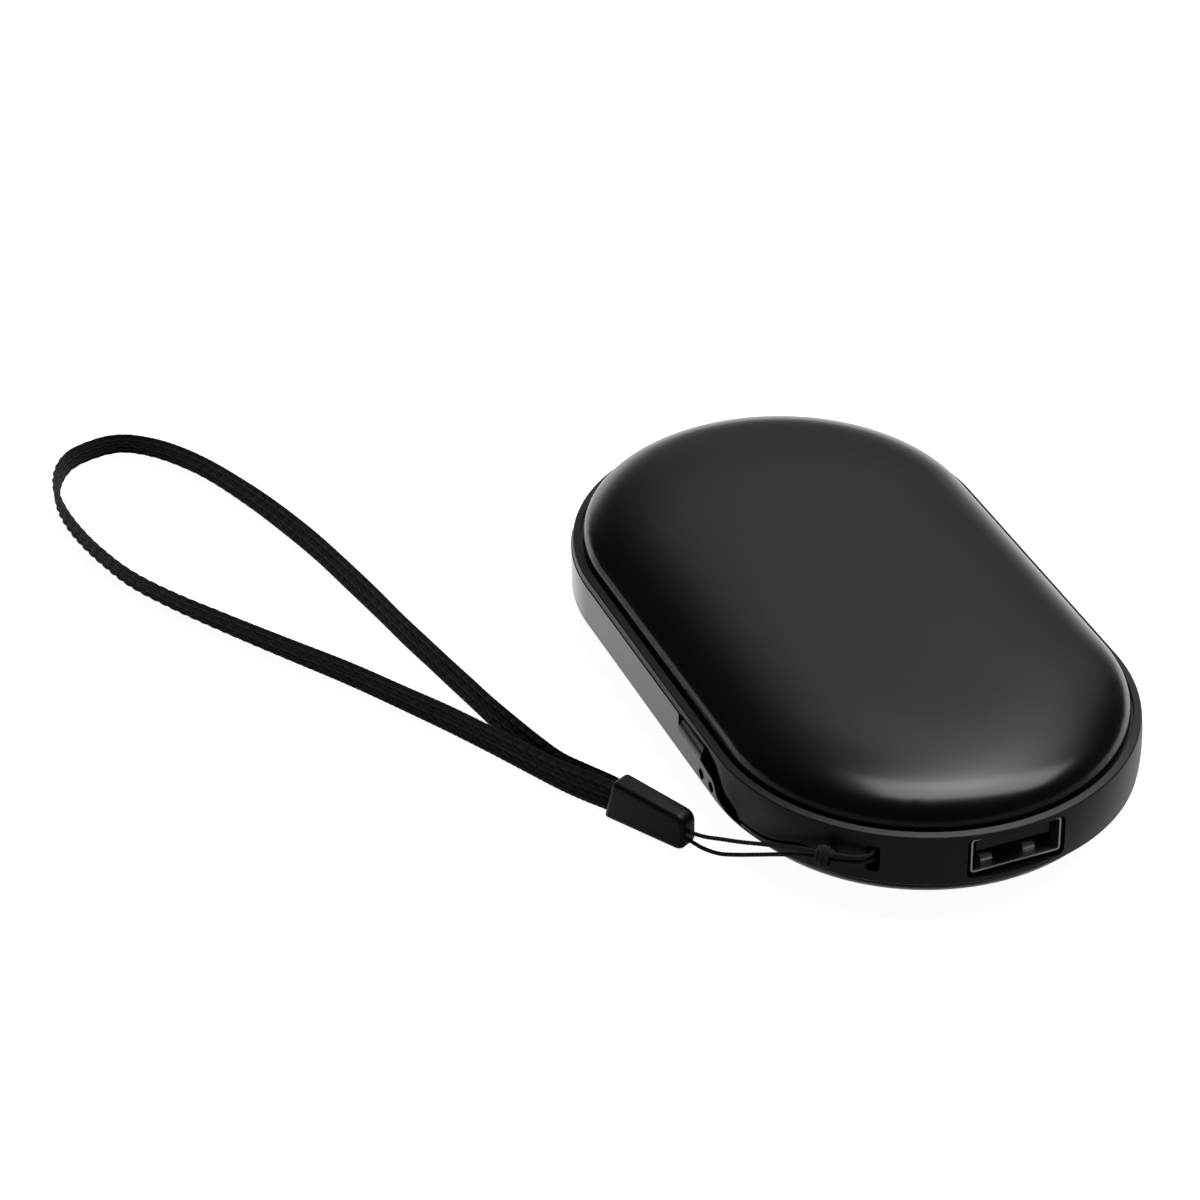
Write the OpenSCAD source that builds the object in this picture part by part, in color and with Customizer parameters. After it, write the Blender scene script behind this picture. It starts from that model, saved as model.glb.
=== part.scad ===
// Rechargeable hand warmer: two drawn metal shells held by a pair of moulded frames,
// with a flat cell, heaters, a charging board, two sockets and a wrist strap.
// Millimetres. +Z up, +Y towards the end without a socket, origin under the middle.

/* [Body] */
// Length of the body over its frames
body_l = 105; // [100:1:112]
// Width of the body over its frames
body_w = 60; // [58:1:66]
// Height of the side wall, both frames together
band_h = 7.8; // [7.6:0.1:9]
// Rise of each metal shell above its seam
shell_rise = 5.8; // [5.4:0.1:7]
// Width of the curved part of a shell, seam to flat
shell_curve_w = 20; // [17:0.5:22]
// Power of the shell's rounded section
shell_power = 2.5; // [2.2:0.1:2.8]
// Sheet thickness of the metal shells
shell_t = 0.8; // [0.5:0.1:1]
// Height of the edge of a shell inside its frame
skirt_h = 0.65; // [0.5:0.05:0.9]

/* [Frames] */
// Width of the flat ring round each shell
ring_w = 1.05; // [0.8:0.05:1.2]
// Rise of the ring towards the shell
ring_rise = 0.2; // [0.1:0.05:0.3]
// Width of the dark seam between ring and shell
seam_w = 0.45; // [0.3:0.05:0.6]
// Outward lean of the wall at the joint of the frames
wall_draft = 0.25; // [0.1:0.05:0.4]
// Thickness of the frame wall
wall_t = 2.2; // [2:0.1:2.5]
// Thickness of the rib that centres a shell
rib_t = 0.8; // [0.6:0.1:1]
// Gap between that rib and the edge of the shell
rib_gap = 0.3; // [0.2:0.05:0.4]
// Reach of the rib past the seat of the shell
rib_reach = 1.55; // [1.2:0.05:1.6]
// Thickness of the ledge that carries a shell
ledge_t = 1.05; // [0.8:0.05:1.2]
// Chamfer on the outer edges of the frames
edge_chamfer = 0.15; // [0.1:0.05:0.2]
// Depth of the fine joint line between the frames
joint_line = 0.04; // [0.02:0.01:0.1]
// Height of the tongue that lines up the frames
tongue_h = 0.7; // [0.5:0.1:0.9]
// Thickness of that tongue
tongue_t = 0.7; // [0.5:0.1:0.9]
// Drop of the joint line beside the side panel
joint_dip = 2.4; // [2:0.1:2.6]

/* [Side panel] */
// Distance from the middle to the power button, along the panel
panel_near = 10.5; // [10:0.1:11]
// Distance from the middle to the panel's tip at the socket end
panel_tip = 29.4; // [28.5:0.1:30]
// Distance from the panel's tail to the end without a socket
tail_room = 6.5; // [5.5:0.5:8.5]
// Length of the tail's S-shaped end
tail_l = 10; // [9:0.5:11]
// Height of the panel's top edge above the joint
panel_top = 2.75; // [2.6:0.05:2.9]
// Height of the recess over the button above the joint
recess_top = 3.3; // [3.2:0.02:3.34]
// Depth of the panel's lower edge below the joint
panel_bottom = 3.35; // [3.2:0.05:3.4]
// Thickness of the panel, and depth of the recess beside it
panel_t = 1.3; // [1.1:0.1:1.4]

/* [Button and lights] */
// Length of the power button
button_l = 7.5; // [7:0.1:7.6]
// Height of the power button
button_h = 2.65; // [2.5:0.05:2.65]
// Radius of the button's corners
button_corner = 0.3; // [0.2:0.05:0.5]
// Radius of the button's rolled face
button_roll_r = 4; // [3.6:0.1:4.6]
// How far the button stands out of the panel
button_proud = 0.1; // [0.05:0.05:0.2]
// Play round the button
button_play = 0.1; // [0.05:0.05:0.15]
// Travel of the button
button_travel = 0.35; // [0.2:0.05:0.35]
// Room round the button's flange inside the frame
flange_room = 0.3; // [0.3:0.05:0.4]
// Diameter of a light guide
light_d = 1.5; // [1.2:0.1:1.6]
// Distance of the first light from the middle
light_place = 18.2; // [18:0.1:18.4]
// Distance between the lights
light_step = 3.2; // [2.8:0.1:3.3]
// Depth of the lights below the joint
light_drop = 2.1; // [2:0.05:2.2]
// Depth of the light guides behind the panel's face
light_sunk = 0.9; // [0.5:0.1:1]

/* [Sockets] */
// Width of the USB-A socket
usb_w = 13.1; // [12.8:0.1:13.3]
// Height of the USB-A socket
usb_h = 5.4; // [5.3:0.05:5.5]
// Depth of the USB-A socket
usb_l = 14; // [13:0.5:15]
// Sheet thickness of the sockets
socket_t = 0.25; // [0.2:0.05:0.3]
// How far the USB-A socket sits behind the wall
usb_recess = 0.8; // [0.6:0.1:1]
// Gap round the USB-A socket at its sides
usb_side_gap = 0.55; // [0.45:0.05:0.8]
// Gap under the USB-A socket
usb_low_gap = 0.75; // [0.5:0.05:0.9]
// Width of the charging socket
port_w = 7.5; // [7.3:0.1:7.7]
// Height of the charging socket
port_h = 2.5; // [2.4:0.1:2.7]
// Depth of the charging socket
port_l = 5.4; // [5:0.1:5.8]
// Distance of the charging socket from the middle
port_place = 15; // [14:0.5:16]

/* [Inside] */
// Thickness of the circuit board
board_t = 1.6; // [1.2:0.2:1.6]
// Distance from the joint down to the board's upper face
board_drop = 2.3; // [2.25:0.05:2.4]
// Room beside the cell for the switch and the lamps
cell_side_room = 6.6; // [6.4:0.1:8]
// Room between the ends of the cell and the frames
cell_end_room = 1.6; // [1:0.1:3]
// Thickness of the cell
cell_t = 9.5; // [9:0.1:9.8]
// Thickness of the heater film
heater_t = 0.25; // [0.2:0.05:0.3]
// Width across the frame screws' heads
screw_head_d = 3.4; // [3:0.1:3.6]
// Diameter of the frame screws
screw_d = 1.8; // [1.6:0.1:2]

/* [Strap] */
// Width of the webbing
strap_w = 5; // [4.5:0.1:5.2]
// Thickness of the webbing
strap_t = 1; // [0.8:0.1:1]
// Diameter of the thin cord
cord_d = 0.55; // [0.45:0.05:0.7]
// Length of the toggle
toggle_l = 13.2; // [12.5:0.1:14]
// Slant of the toggle's webbing end
toggle_slant = 1.8; // [1:0.1:2.4]
// Height of the toggle at its webbing end
toggle_h = 5.9; // [5.7:0.1:6.2]
// Height of the toggle at its cord end
toggle_small_h = 4.9; // [4.6:0.1:5.2]
// Thickness of the toggle at its webbing end
toggle_t = 3.4; // [3.3:0.1:3.6]
// Thickness of the toggle at its cord end
toggle_small_t = 2.8; // [2.6:0.1:3]
// Width of the lanyard slot
slot_w = 1.8; // [1.6:0.1:2]
// Height of the lanyard slot
slot_h = 4; // [3.8:0.1:4.2]
// Diameter of the pin behind the slot
pin_d = 2; // [1.8:0.1:2.1]

/* [Hidden] */
$fn = 48;

// Overrun of a cut past the face it leaves
cut = 1;
// Small clearance where two fixed pieces meet
fit = 0.05;

// Places that follow from the sizes
half_w = body_w / 2;
spine = body_l / 2 - half_w;
half_band = band_h / 2;
seam_r = half_w - ring_w - seam_w;
seam_h = half_band + ring_rise;
seat_h = seam_h - skirt_h;
mid_z = seam_h + shell_rise;
rib_r = seam_r - shell_t - rib_gap;
rib_inner_r = rib_r - rib_t;
wall_inner_r = half_w - wall_t + edge_chamfer - fit;
panel_face_r = half_w + wall_draft;
panel_tail = body_l / 2 - tail_room;
board_top = mid_z - board_drop;
board_low = board_top - board_t;
board_r = rib_inner_r - 8 * fit;
usb_face = body_l / 2 - usb_recess;
usb_back = usb_face - usb_l;
cell_w = 2 * (rib_inner_r - cell_side_room);
cell_front = -spine + cell_end_room;
cell_back = spine + sqrt(pow(rib_inner_r - cell_end_room, 2) - pow(cell_w / 2, 2));
cell_l = cell_back - cell_front;
cell_low = mid_z - cell_t / 2;
cell_high = mid_z + cell_t / 2;

// Rounded section of a shell: distance from the spine and height over the joint
curve_angles = [0, 1, 2.5, 4.5, 7, 10, 13.5, 17.5, 22, 27, 32.5, 38.5, 45, 52, 59, 66, 73, 79,
                84.5, 90];
function shell_curve(edge_r, width, base, rise) = [
    for (a = curve_angles)
        [edge_r - width + width * pow(cos(a), 2 / shell_power),
         base + rise * pow(sin(a), 2 / shell_power)]
];
outer_curve = shell_curve(seam_r, shell_curve_w, seam_h, shell_rise);
inner_curve = shell_curve(seam_r - shell_t, shell_curve_w - shell_t, seam_h,
                          shell_rise - shell_t);

function reversed(list) = [for (i = [len(list) - 1 : -1 : 0]) list[i]];
function tail(list, first) = [for (i = [first : len(list) - 1]) list[i]];

// Solid with the body's rounded plan, from a section drawn over its spine
module round_ended(section) {
    for (end = [0, 1]) mirror([0, end, 0]) translate([0, spine, 0])
        rotate_extrude(angle = 180) polygon(section);
    for (side = [0, 1]) mirror([side, 0, 0]) translate([0, spine, 0])
        rotate([90, 0, 0]) linear_extrude(2 * spine) polygon(section);
}

module over_joint() translate([0, 0, mid_z]) children();
module under_joint() translate([0, 0, mid_z]) mirror([0, 0, 1]) children();

// Lays a shape out at an angle round the socket end's curve
module at_end_angle(angle) translate([0, -spine, 0]) rotate([0, 0, -angle]) children();

module pill(length, height, depth) {
    // Rounded bar, long in Y, tall in Z, deep in X
    rotate([90, 0, 90]) linear_extrude(depth) {
        square([length - height, height], center = true);
        for (end = [-1, 1]) translate([end * (length - height) / 2, 0]) circle(d = height);
    }
}

module rounded_bar(size, corner) {
    // Block with four rounded long edges, centred in X and Z, running along +Y
    translate([0, size[1], 0]) rotate([90, 0, 0]) linear_extrude(size[1]) {
        square([size[0] - 2 * corner, size[2]], center = true);
        square([size[0], size[2] - 2 * corner], center = true);
        for (x = [-1, 1], z = [-1, 1])
            translate([x * (size[0] / 2 - corner), z * (size[2] / 2 - corner)])
                circle(r = corner);
    }
}

// Metal shells
shell_section = concat(
    [[seam_r - shell_t, seat_h], [seam_r, seat_h]], outer_curve,
    [[0, seam_h + shell_rise], [0, seam_h + shell_rise - shell_t]],
    reversed(inner_curve));

module top_shell() color([0.09, 0.09, 0.1]) over_joint() round_ended(shell_section);
module bottom_shell() color([0.12, 0.12, 0.13]) under_joint() round_ended(shell_section);

// Shares of the wall's lean and of its height, from the joint to the edge
wall_shares = [[0.96, 0.25], [0.8, 0.5], [0.5, 0.74]];

// Frames: section of one half, measured from the joint
frame_section = [
    [wall_inner_r, 0], [half_w + wall_draft - joint_line, 0],
    [half_w + wall_draft, joint_line],
    for (share = wall_shares) [half_w + wall_draft * share[0], half_band * share[1]],
    [half_w, half_band - edge_chamfer],
    [half_w - edge_chamfer, half_band], [seam_r + seam_w, seam_h],
    [seam_r + seam_w, seat_h], [rib_r, seat_h], [rib_r, seat_h + rib_reach],
    [rib_inner_r, seat_h + rib_reach], [rib_inner_r, seat_h - ledge_t],
    [wall_inner_r, seat_h - ledge_t - (wall_inner_r - rib_inner_r) / 2]
];

// Shares of the run from the panel's tip to the end: where the joint is low, and level again
dip_shares = [2 / 15, 19 / 35];
dip_low = panel_tip + dip_shares[0] * (body_l / 2 - panel_tip);
dip_far = panel_tip + dip_shares[1] * (body_l / 2 - panel_tip);
function dip_at(y) =
    y > dip_far ? 0
    : y < dip_low ? joint_dip
    : joint_dip * (1 + cos(180 * (y - dip_low) / (dip_far - dip_low))) / 2;
dip_steps = 10;
dip_outline = concat(
    [for (i = [0 : dip_steps]) let (y = dip_far + (dip_low - dip_far) * i / dip_steps)
        [-y, -dip_at(y)]],
    [[-spine + cut, -joint_dip], [-spine + cut, 0]]);

module dip_region(shift) {
    // Space between the level joint and its dipped line at the socket end of the panel
    translate([-half_w - 2 * cut, 0, mid_z + shift])
        rotate([90, 0, 90]) linear_extrude(half_w) polygon(dip_outline);
}

module frame_half_plain() round_ended(frame_section);

dip_groove_w = 0.5;
dip_groove_depth = 0.5;
module dip_groove() {
    // Open line under the dipped joint, cut only into the outside of the wall
    difference() {
        intersection() {
            dip_region(-dip_groove_w);
            round_ended([[0, mid_z - half_band], [half_w + cut, mid_z - half_band],
                         [half_w + cut, mid_z + half_band], [0, mid_z + half_band]]);
        }
        round_ended([[0, 0], [half_w - dip_groove_depth, 0],
                     [half_w - dip_groove_depth, 2 * mid_z], [0, 2 * mid_z]]);
    }
}

// Shares of the run from the button to the tip, and of the recess's height
recess_shares = [
    [0, 0.917], [0.037, 0.955], [0.492, 1], [0.571, 0.959], [0.64, 0.925], [0.688, 0.823],
    [0.741, 0.674], [0.783, 0.531], [0.815, 0.451], [0.894, 0.379], [0.947, 0.284],
    [0.968, 0.209], [0.989, 0.113], [1, 0]
];
face_shares = [
    [0.492, 0.447], [0.593, 0.415], [0.64, 0.316], [0.651, 0.224], [0.677, 0.14],
    [0.725, 0.087], [0.772, 0.068], [0.82, 0.038], [0.894, 0.018], [0.926, 0]
];
tail_shares = [
    [0, 1], [0.11, 0.985], [0.21, 0.9], [0.29, 0.79], [0.345, 0.63], [0.405, 0.45],
    [0.465, 0.27], [0.53, 0.155], [0.64, 0.085], [0.8, 0.04], [1, 0]
];
tip_run = panel_tip - panel_near;
recess_h = recess_top + panel_bottom;
function near_line(shares) = [
    for (share = shares)
        [-panel_near - share[0] * tip_run, -panel_bottom + share[1] * recess_h]
];
function tail_line(grow) = [
    for (share = reversed(tail_shares))
        [panel_tail - tail_l + share[0] * tail_l + grow,
         -panel_bottom + share[1] * (panel_top + panel_bottom) + grow]
];

// Outline of the pocket in the frames, and of the panel that leaves the dark recess open
pocket_outline = concat(
    near_line(recess_shares), [[-panel_tip, -panel_bottom - fit]],
    [[panel_tail + fit, -panel_bottom - fit]], tail_line(fit),
    [[-panel_near, panel_top + fit]]);
panel_face_outline = concat(
    [[-panel_near + button_play, panel_top], [-panel_near + button_play, -button_play],
     [-panel_near - button_l - 2 * button_play, -button_play]],
    near_line(face_shares), tail_line(0));

module panel_blank(inner_r, outer_r, outline) {
    // Part of the wall between two radii inside an outline
    difference() {
        intersection() {
            round_ended([[0, 0], [outer_r, 0], [outer_r, 2 * mid_z], [0, 2 * mid_z]]);
            translate([-outer_r - cut, 0, mid_z]) rotate([90, 0, 90])
                linear_extrude(half_w) polygon(outline);
        }
        round_ended([[0, -cut], [inner_r, -cut], [inner_r, 2 * mid_z + cut],
                     [0, 2 * mid_z + cut]]);
    }
}

module button_blank(grow, depth_from, depth_to) {
    // Rounded block of the button's outline, grown all round
    corner = button_corner + grow;
    translate([-depth_to, -panel_near - button_l / 2, mid_z + button_h / 2])
        rotate([90, 0, 90]) linear_extrude(depth_to - depth_from) {
            square([button_l + 2 * grow - 2 * corner, button_h + 2 * grow], center = true);
            square([button_l + 2 * grow, button_h + 2 * grow - 2 * corner], center = true);
            for (y = [-1, 1], z = [-1, 1])
                translate([y * (button_l / 2 + grow - corner), z * (button_h / 2 + grow - corner)])
                    circle(r = corner);
        }
}

module light_holes(play, depth_from, depth_to) {
    for (i = [0, 1])
        translate([-depth_to, -light_place - i * light_step, mid_z - light_drop])
            rotate([0, 90, 0]) cylinder(d = light_d + 2 * play, h = depth_to - depth_from);
}

module side_panel() color([0.1, 0.1, 0.11]) difference() {
    panel_blank(panel_face_r - panel_t, panel_face_r, panel_face_outline);
    light_holes(fit, half_w - 2 * panel_t, half_w + cut);
}

// Power button: block with a rolled face, a flange inside the frame and a stem to the switch
flange_t = 0.6;
flange_rim = 0.35;
flange_face = wall_inner_r - 2 * fit;
stem_d = 1.5;
stem_end = flange_face - flange_t * 5 / 3;
button_level = button_h / 2;
button_face = panel_face_r + button_proud;

module power_button() color([0.13, 0.13, 0.14]) {
    intersection() {
        button_blank(0, flange_face - fit, button_face);
        union() {
            translate([button_roll_r - button_face, cut - panel_near, mid_z - 2 * button_play])
                rotate([90, 0, 0]) cylinder(r = button_roll_r, h = button_l + 2 * cut);
            translate([button_roll_r - button_face, -panel_near - button_l - cut,
                       mid_z - button_h])
                cube([half_w, button_l + 2 * cut, 3 * button_h]);
        }
    }
    button_blank(flange_rim, flange_face - flange_t, flange_face);
    translate([-flange_face + flange_t / 2, -panel_near - button_l / 2, mid_z + button_level])
        rotate([0, 90, 0]) cylinder(d = stem_d, h = flange_face - flange_t / 2 - stem_end);
}

module button_window() {
    // Hole for the button, and room for its flange inside the frame
    button_blank(button_play, wall_inner_r - cut, panel_face_r);
    button_blank(flange_rim + flange_room, wall_inner_r - 2 * cut, wall_inner_r);
}

// Openings in the wall
usb_opening_corner = 0.8;
module usb_opening() {
    low = board_top + fit - usb_low_gap;
    high = board_top + usb_h + 2 * fit;
    translate([0, -body_l / 2 - cut, (low + high) / 2])
        rounded_bar([usb_w + 2 * usb_side_gap, half_w / 2, high - low], usb_opening_corner);
}

port_face = half_w - usb_recess;
port_play = 0.3;
module port_opening() {
    translate([rib_inner_r - cut, -port_place, board_top + port_h / 2])
        pill(port_w + 2 * port_play, port_h + 2 * port_play, half_w);
}

slot_angle = 37.1;
slot_corner = 0.4;
module lanyard_slot() {
    at_end_angle(slot_angle) translate([0, -half_w - cut, mid_z]) rotate([-90, 0, 0])
        linear_extrude(wall_t + 3 * cut) {
            square([slot_w, slot_h - 2 * slot_corner], center = true);
            square([slot_w - 2 * slot_corner, slot_h], center = true);
            for (x = [-1, 1], y = [-1, 1])
                translate([x * (slot_w / 2 - slot_corner), y * (slot_h / 2 - slot_corner)])
                    circle(r = slot_corner);
        }
}

// Cheeks that carry the lanyard pin behind the slot
cheek_w = 2.2;
cheek_l = 3.4;
cheek_h = 3.6;
pin_room = 0.5;
pin_r = wall_inner_r - pin_d / 2 - pin_room;
module pin_cheeks() {
    at_end_angle(slot_angle) for (side = [-1, 1])
        translate([side * (slot_w + cheek_w) / 2 - cheek_w / 2, -wall_inner_r - fit,
                   mid_z - cheek_h / 2])
            cube([cheek_w, cheek_l, cheek_h]);
}
module pin_shape(play) {
    at_end_angle(slot_angle) translate([0, -pin_r, mid_z]) rotate([0, 90, 0])
        cylinder(d = pin_d + 2 * play, h = slot_w + 2 * cheek_w - wall_draft,
                 center = true);
}

// Screw bosses
boss_d = 4.4;
boss_rim_gap = 1.4;
boss_r = rib_inner_r - boss_d / 2 - boss_rim_gap;
front_boss_angle = 63;
rear_boss_angle = 19;
front_boss = [boss_r * sin(front_boss_angle), spine + boss_r * cos(front_boss_angle)];
rear_boss = [boss_r * sin(rear_boss_angle), spine + boss_r * cos(rear_boss_angle)];
boss_low = 2.3;
head_h = 1.2;
boss_cap = 1.6;
module boss_at(place, low, high) {
    for (side = [-1, 1]) translate([side * place[0], place[1], low])
        cylinder(d = boss_d, h = high - low);
}
module boss_webs(low, high) {
    // Short webs from the bosses to the rib
    web_w = boss_d / 2;
    for (side = [0, 1]) mirror([side, 0, 0]) {
        translate([front_boss[0], -front_boss[1], low])
            rotate([0, 0, atan2(spine - front_boss[1], front_boss[0])])
                translate([0, -web_w / 2, 0])
                    cube([rib_inner_r + rib_t / 2 - norm([front_boss[0],
                          front_boss[1] - spine]), web_w, high - low]);
        translate([rear_boss[0], rear_boss[1], low])
            rotate([0, 0, atan2(rear_boss[1] - spine, rear_boss[0])])
                translate([0, -web_w / 2, 0])
                    cube([rib_inner_r + rib_t / 2 - norm([rear_boss[0],
                          rear_boss[1] - spine]), web_w, high - low]);
    }
}
module screw_holes(d, low, high) {
    for (side = [-1, 1]) {
        translate([side * front_boss[0], -front_boss[1], low]) cylinder(d = d, h = high - low);
        translate([side * rear_boss[0], rear_boss[1], low]) cylinder(d = d, h = high - low);
    }
}

// Level of the ribs' free edges
rib_low = mid_z - seat_h - rib_reach;
rib_high = mid_z + seat_h + rib_reach;
shelf_t = 1;
shelf_w = 4;
shelf_reach = 3.4;

module board_shelves() {
    // Shelves under the board's arms and under its front edge
    for (side = [0, 1]) mirror([side, 0, 0])
        translate([rib_inner_r - shelf_reach, -port_place + shelf_w, board_low - shelf_t])
            cube([shelf_reach + rib_t / 2, shelf_w / 2, shelf_t]);
    translate([-shelf_w, -spine - rib_inner_r - rib_t / 2, board_low - shelf_t])
        cube([2 * shelf_w, shelf_reach, shelf_t]);
}

module tongue_ring(play, height) {
    // Raised line that lines up the frames, left out beside the panel
    intersection() {
        round_ended([[wall_inner_r, -cut], [wall_inner_r + tongue_t + play, -cut],
                     [wall_inner_r + tongue_t + play, height], [wall_inner_r, height]]);
        translate([-half_w / 3 - play, -body_l, -cut]) cube([body_w, 2 * body_l, 3 * cut]);
    }
}

module frame_openings() {
    usb_opening();
    port_opening();
    lanyard_slot();
    pin_shape(fit);
    button_window();
    panel_blank(panel_face_r - panel_t - fit, half_w + 2 * cut, pocket_outline);
    light_holes(fit, rib_inner_r - cut, half_w + cut);
}

module upper_frame() color([0.17, 0.17, 0.18]) difference() {
    union() {
        over_joint() difference() {
            frame_half_plain();
            tongue_ring(fit, tongue_h + fit);
        }
        intersection() {
            under_joint() frame_half_plain();
            dip_region(0);
        }
        intersection() {
            pin_cheeks();
            translate([-body_l, -body_l, mid_z]) cube([2 * body_l, 2 * body_l, half_w]);
        }
        boss_at([front_boss[0], -front_boss[1]], board_top, rib_high);
        boss_at(rear_boss, mid_z, rib_high);
        boss_webs(rib_high - 2 * shelf_t, rib_high);
    }
    frame_openings();
    screw_holes(screw_d + 4 * fit, board_top - cut, rib_high + cut);
    screw_holes(screw_head_d + 4 * fit, rib_high - head_h, rib_high + cut);
}

module lower_frame() color([0.15, 0.15, 0.16]) difference() {
    union() {
        under_joint() frame_half_plain();
        over_joint() tongue_ring(0, tongue_h);
        intersection() {
            pin_cheeks();
            translate([-body_l, -body_l, 0]) cube([2 * body_l, 2 * body_l, mid_z]);
        }
        boss_at([front_boss[0], -front_boss[1]], board_low - boss_low, board_low);
        boss_at(rear_boss, rib_low, mid_z);
        boss_webs(rib_low, board_low);
        board_shelves();
    }
    frame_openings();
    dip_region(0);
    dip_groove();
    screw_holes(screw_d - 4 * fit, board_low - boss_low / 2 - cut / 2, mid_z + cut);
}

module frame_screws() color([0.6, 0.6, 0.62]) {
    head_z = rib_high - head_h;
    front_l = head_z - board_low + boss_low / 2;
    rear_l = head_z - mid_z + front_l / 3;
    for (side = [-1, 1]) {
        translate([side * front_boss[0], -front_boss[1], head_z])
            screw(screw_d - 4 * fit, front_l);
        translate([side * rear_boss[0], rear_boss[1], head_z])
            screw(screw_d - 4 * fit, rear_l);
    }
}

module screw(d, length) {
    // Pan head with a cross recess, shank downwards
    head = head_h * 3 / 4;
    difference() {
        cylinder(d = screw_head_d, h = head);
        for (turn = [0, 90]) rotate([0, 0, turn]) translate([0, 0, head])
            cube([screw_head_d * 2 / 3, screw_head_d / 6, head], center = true);
    }
    translate([0, 0, -length]) cylinder(d = d, h = length + fit);
}

// Light guides and the lamps behind them
lamp_d = 0.8;
module light_guides() color([0.75, 0.78, 0.8]) {
    light_holes(0, board_r + 2 * fit, panel_face_r - light_sunk);
}
module status_leds() color([0.9, 0.9, 0.85]) for (i = [0, 1])
    translate([-board_r, -light_place - i * light_step - lamp_d, board_top])
        cube([lamp_d, 2 * lamp_d, lamp_d]);

// Switch behind the button
switch_w = 4.7;
switch_l = 3.4;
switch_h = 4.6;
plunger_play = 0.1;
module button_switch() color([0.2, 0.2, 0.22]) difference() {
    translate([-board_r, -panel_near - button_l / 2 - switch_w / 2, board_top])
        cube([switch_l, switch_w, switch_h]);
    translate([-board_r - cut, -panel_near - button_l / 2, mid_z + button_level])
        rotate([0, 90, 0])
        cylinder(d = stem_d + 2 * plunger_play, h = switch_l / 2 + cut);
}
module switch_plunger() color([0.85, 0.85, 0.85])
    translate([-stem_end + plunger_play, -panel_near - button_l / 2, mid_z + button_level])
        rotate([0, 90, 0])
            cylinder(d = stem_d, h = stem_end - plunger_play - board_r + switch_l / 2
                                     - button_travel - plunger_play);

// USB-A socket
usb_low = board_top;
tongue_gap = 0.7;
usb_tongue_t = 1.84;
usb_tongue_side = 1;
usb_tongue_w = usb_w - 2 * socket_t - 2 * usb_tongue_side;
usb_tongue_l = 9.8;
usb_corner = 0.6;
usb_block_l = 2.9;
spring_w = 1.7;
spring_r = 0.95;
spring_rise = 1.5;
spring_places = [-3.7, 2.5];
spring_back = 2;
spring_root = 6.5;
spring_corner = 0.55;
module usb_a_shell() color([0.78, 0.78, 0.8]) {
    difference() {
        translate([0, -usb_face, usb_low + usb_h / 2])
            rounded_bar([usb_w, usb_l, usb_h], usb_corner);
        translate([0, -usb_face - cut, usb_low + usb_h / 2])
            rounded_bar([usb_w - 2 * socket_t, usb_l - socket_t + cut,
                         usb_h - 2 * socket_t], usb_corner - socket_t);
    }
    // Spring tongues of the floor: a rounded nose towards the mouth and a long arm
    for (place = spring_places) translate([place, -usb_face, usb_low]) intersection() {
        rotate([90, 0, 90]) translate([0, 0, -spring_w / 2]) linear_extrude(spring_w) {
            intersection() {
                translate([spring_back, spring_rise - spring_r]) difference() {
                    circle(r = spring_r);
                    circle(r = spring_r - socket_t);
                }
                square([spring_back, spring_rise]);
            }
            polygon([[spring_back - fit, spring_rise - socket_t], [spring_root, 0],
                     [spring_root, socket_t], [spring_back - fit, spring_rise - fit / 10]]);
        }
        rotate([90, 0, 0]) translate([0, 0, -usb_l]) linear_extrude(usb_l) {
            translate([-spring_w / 2, spring_corner]) square([spring_w, spring_rise]);
            translate([spring_corner - spring_w / 2, 0])
                square([spring_w - 2 * spring_corner, spring_rise]);
            for (side = [-1, 1])
                translate([side * (spring_w / 2 - spring_corner), spring_corner])
                    circle(r = spring_corner);
        }
    }
}
usb_tongue_high = usb_low + usb_h - socket_t - tongue_gap;
usb_tongue_back = usb_back + socket_t + fit;
module usb_a_tongue() color([0.08, 0.08, 0.08]) {
    translate([-usb_tongue_w / 2, -usb_tongue_back - usb_block_l - usb_tongue_l,
               usb_tongue_high - usb_tongue_t])
        cube([usb_tongue_w, usb_tongue_l + fit, usb_tongue_t]);
    translate([-usb_w / 2 + usb_corner, -usb_tongue_back - usb_block_l,
               usb_low + socket_t + fit])
        cube([usb_w - 2 * usb_corner, usb_block_l, usb_h - 2 * socket_t - 2 * fit]);
}
contact_w = 1;
contact_t = 0.3;
contact_pitch = 2.25;
contact_inset = 1;
module usb_a_contacts() color([0.85, 0.7, 0.35]) for (i = [-1.5, -0.5, 0.5, 1.5])
    translate([i * contact_pitch - contact_w / 2, -usb_tongue_back - usb_block_l
               - usb_tongue_l + contact_inset, usb_tongue_high - usb_tongue_t - contact_t])
        cube([contact_w, usb_tongue_l - contact_inset - fit, contact_t]);

// Charging socket on the far side
port_corner = 0.8;
module port_bar(inset, length) {
    translate([port_face, -port_place, board_top + port_h / 2]) rotate([0, 0, 90])
        rounded_bar([port_w - 2 * inset, length, port_h - 2 * inset],
                    port_corner - inset);
}
module charging_port_shell() color([0.75, 0.75, 0.77]) difference() {
    port_bar(0, port_l);
    translate([cut, 0, 0]) port_bar(socket_t, port_l - socket_t + cut);
}
port_tongue_t = 0.6;
port_tongue_inset = 1.7;
port_block_l = 1;
module charging_port_tongue() color([0.1, 0.1, 0.1]) {
    translate([port_face - port_l + socket_t + fit, -port_place - port_w / 4,
               board_top + port_h / 2])
        cube([port_l - port_tongue_inset - socket_t, port_w / 2, port_tongue_t]);
    translate([port_face - port_l + socket_t + fit, -port_place - port_w / 2
               + port_corner, board_top + socket_t + fit])
        cube([port_block_l, port_w - 2 * port_corner, port_h - 2 * socket_t - 2 * fit]);
}

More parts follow.
